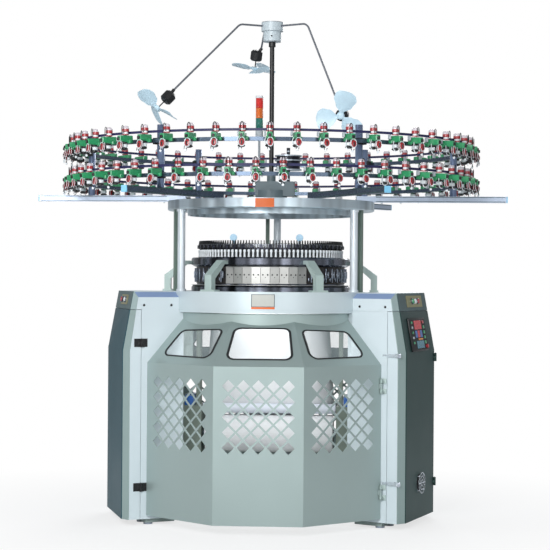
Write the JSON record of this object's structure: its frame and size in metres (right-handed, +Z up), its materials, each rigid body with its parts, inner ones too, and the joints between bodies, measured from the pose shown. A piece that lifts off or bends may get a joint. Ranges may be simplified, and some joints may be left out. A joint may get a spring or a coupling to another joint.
{
  "type": "circular knitting machine",
  "caption": "Circular knitting machine: round bed on three covered legs, swing gates with mesh and windows, needle cylinder, crown with two feeder rings and overhead fans.",
  "frame": {"origin": "floor, on the axis of the needle cylinder", "axes": "+Z up along the cylinder's axis, front gate towards -Y, electrical cabinet with the controller towards +X"},
  "size_m": [3.24, 2.86, 3.4],
  "materials": {
    "sage": "satin sage-green enamel",
    "slate": "satin dark slate enamel",
    "casting": "painted casting",
    "steel": "ground steel",
    "bright": "polished",
    "cream": "satin light enamel",
    "pale_blue": "satin moulded",
    "blue": "satin moulded",
    "black": "fine grain",
    "green_body": "moulded",
    "white_plastic": "moulded",
    "clear": "clear sheet",
    "lens": "translucent lens",
    "tape": "toothed belt",
    "cloth": "plain knit",
    "rubbered": "ground rubber cover",
    "alu": "anodised",
    "yellow": "gloss enamel",
    "green_btn": "moulded",
    "red_btn": "moulded"
  },
  "bodies": {
    "frame": {"legs": "casting", "levelling_screws": "steel", "bed_plate": "cream", "cover_right": "sage", "cover_left": "sage", "cover_back": "sage", "leg_caps": "cream", "hinges": "black", "main_motor": "casting", "cam_saddle": "steel", "cam_boxes": "alu", "carrier_ring": "alu", "yarn_guides": "bright", "sensor_heads": "pale_blue", "ring_brackets": "cream", "columns": "bright", "cable_posts": "alu", "crown_ring": "cream", "crown_hub": "casting", "radial_beams": "cream", "beam_caps": "pale_blue", "tier_posts": "bright", "feeder_rails": "alu", "drive_tapes": "tape", "feeder_bodies": "green_body", "feeder_wheels": "white_plastic", "fan_pole": "bright", "tower_base": "white_plastic", "tower_lenses": "lens", "button_plates": "yellow"},
    "door_right": {"door_right": "slate", "controller": "black", "vent_guard": "bright"},
    "vent_fan": {"vent_fan": "black"},
    "latch_upper": {"latch_upper": "bright"},
    "latch_lower": {"latch_lower": "bright"},
    "door_left": {"door_left": "slate"},
    "gate_front": {"gate_front": "sage", "windows_front": "clear"},
    "gate_right": {"gate_right": "sage", "windows_right": "clear"},
    "gate_left": {"gate_left": "sage", "windows_left": "clear"},
    "cylinder": {"needle_cylinder": "steel", "ring_gear": "steel", "takedown_frame": "casting", "fabric_tube": "cloth"},
    "draw_roller": {"draw_roller": "rubbered"},
    "nip_roller": {"nip_roller": "rubbered"},
    "fabric_roll": {"fabric_roll": "cloth"},
    "pinion": {"pinion": "steel"},
    "pulleys": {"pulley_stack": "alu"},
    "fan_head": {"fan_hub": "white_plastic", "fan_motors": "black"},
    "rotor_right": {"rotor_right": "pale_blue"},
    "rotor_left": {"rotor_left": "pale_blue"},
    "rotor_back": {"rotor_back": "pale_blue"},
    "button_start": {"button_start": "green_btn"},
    "button_stop": {"button_stop": "red_btn"},
    "button_stop_left": {"button_stop_left": "red_btn"}
  },
  "joints": [
    {"name": "door_right_hinge", "type": "hinge", "parent": "frame", "child": "door_right", "pos_m": [1.13678, 0.01016, 0.6], "axis": [0, 0, 1], "range_deg": [0, 105]},
    {"name": "vent_fan_spin", "type": "hinge", "parent": "door_right", "child": "vent_fan", "pos_m": [1.02812, -0.3061, 0.275], "axis": [0.9534, -0.3019, 0], "continuous": true},
    {"name": "latch_upper_hinge", "type": "hinge", "parent": "door_right", "child": "latch_upper", "pos_m": [0.87787, -0.65349, 1.135], "axis": [0, 0, 1], "range_deg": [0, 50]},
    {"name": "latch_lower_hinge", "type": "hinge", "parent": "door_right", "child": "latch_lower", "pos_m": [0.87787, -0.65349, 0.3], "axis": [0, 0, 1], "range_deg": [0, 50]},
    {"name": "door_left_hinge", "type": "hinge", "parent": "frame", "child": "door_left", "pos_m": [-0.80537, -0.61105, 0.6], "axis": [0, 0, 1], "range_deg": [0, 105]},
    {"name": "gate_front_hinge", "type": "hinge", "parent": "frame", "child": "gate_front", "pos_m": [0.77218, -0.60055, 0.6], "axis": [0, 0, 1], "range_deg": [0, 100]},
    {"name": "gate_right_hinge", "type": "hinge", "parent": "frame", "child": "gate_right", "pos_m": [0.134, 0.969, 0.6], "axis": [0, 0, 1], "range_deg": [0, 100]},
    {"name": "gate_left_hinge", "type": "hinge", "parent": "frame", "child": "gate_left", "pos_m": [-0.134, 0.969, 0.6], "axis": [0, 0, -1], "range_deg": [0, 100]},
    {"name": "cylinder_spin", "type": "hinge", "parent": "frame", "child": "cylinder", "pos_m": [0, 0, 1.457], "axis": [0, 0, 1], "continuous": true},
    {"name": "draw_roller_spin", "type": "hinge", "parent": "cylinder", "child": "draw_roller", "pos_m": [0, -0.036, 0.74], "axis": [1, 0, 0], "continuous": true},
    {"name": "nip_roller_spin", "type": "hinge", "parent": "cylinder", "child": "nip_roller", "pos_m": [0, 0.036, 0.74], "axis": [1, 0, 0], "continuous": true},
    {"name": "fabric_roll_spin", "type": "hinge", "parent": "cylinder", "child": "fabric_roll", "pos_m": [0, 0, 0.566], "axis": [1, 0, 0], "continuous": true},
    {"name": "pinion_spin", "type": "hinge", "parent": "frame", "child": "pinion", "pos_m": [-0.59163, -0.15853, 1.457], "axis": [0, 0, 1], "continuous": true},
    {"name": "pulley_spin", "type": "hinge", "parent": "frame", "child": "pulleys", "pos_m": [0.117, 0, 2.3], "axis": [0, 0, 1], "continuous": true},
    {"name": "fan_head_spin", "type": "hinge", "parent": "frame", "child": "fan_head", "pos_m": [0, 0, 3.3], "axis": [0, 0, 1], "continuous": true},
    {"name": "rotor_right_spin", "type": "hinge", "parent": "fan_head", "child": "rotor_right", "pos_m": [0.487, -0.408, 2.719], "axis": [-0.1252, -0.9765, -0.1753], "continuous": true},
    {"name": "rotor_left_spin", "type": "hinge", "parent": "fan_head", "child": "rotor_left", "pos_m": [-0.738, -0.426, 2.765], "axis": [-0.6125, -0.35, -0.7088], "continuous": true},
    {"name": "rotor_back_spin", "type": "hinge", "parent": "fan_head", "child": "rotor_back", "pos_m": [-0.147, 0.352, 3.124], "axis": [-0.1375, 0.2328, -0.9628], "continuous": true},
    {"name": "button_start_press", "type": "slide", "parent": "frame", "child": "button_start", "axis": [-0.9392, 0.2974, -0.1718], "range_m": [0, 0.004], "stiffness_N_per_m": 400},
    {"name": "button_stop_press", "type": "slide", "parent": "frame", "child": "button_stop", "axis": [-0.9392, 0.2974, -0.1718], "range_m": [0, 0.004], "stiffness_N_per_m": 400},
    {"name": "button_stop_left_press", "type": "slide", "parent": "frame", "child": "button_stop_left", "axis": [0.9392, 0.2974, -0.1718], "range_m": [0, 0.004], "stiffness_N_per_m": 400}
  ],
  "couplings": [
    {"joint": "pinion_spin", "follows": "cylinder_spin", "ratio": -6},
    {"joint": "pulley_spin", "follows": "cylinder_spin", "ratio": 4},
    {"joint": "draw_roller_spin", "follows": "cylinder_spin", "ratio": 0.5},
    {"joint": "nip_roller_spin", "follows": "cylinder_spin", "ratio": -0.5},
    {"joint": "fabric_roll_spin", "follows": "cylinder_spin", "ratio": 0.13}
  ]
}
